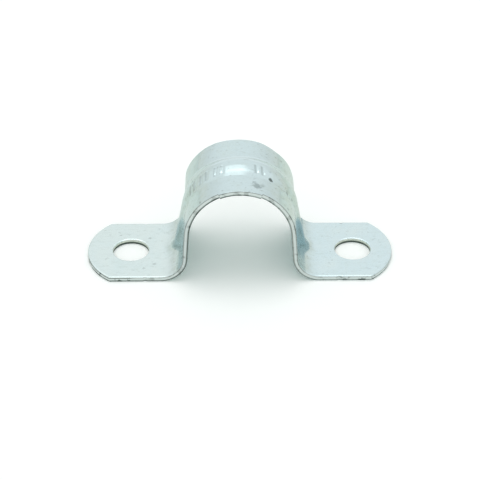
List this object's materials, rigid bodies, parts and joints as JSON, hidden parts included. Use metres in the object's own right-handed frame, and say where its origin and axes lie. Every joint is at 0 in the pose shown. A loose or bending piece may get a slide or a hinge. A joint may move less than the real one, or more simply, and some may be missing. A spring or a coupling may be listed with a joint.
{
  "type": "conduit strap",
  "caption": "Pressed zinc-plated steel strap with a ribbed half-round saddle and a flat, round-ended ear with a screw hole on each side, for fixing conduit to a surface.",
  "frame": {"origin": "middle of the footprint on the fixing surface, under the saddle", "axes": "+X runs from ear to ear, +Y along the conduit and +Z away from the fixing surface"},
  "size_m": [0.0556, 0.0168, 0.0199],
  "materials": {
    "zinc_plated_steel": "bright zinc plating, slightly milky, with faint rolling marks and small specks"
  },
  "bodies": {
    "root": {"strap": "zinc_plated_steel"}
  },
  "joints": []
}
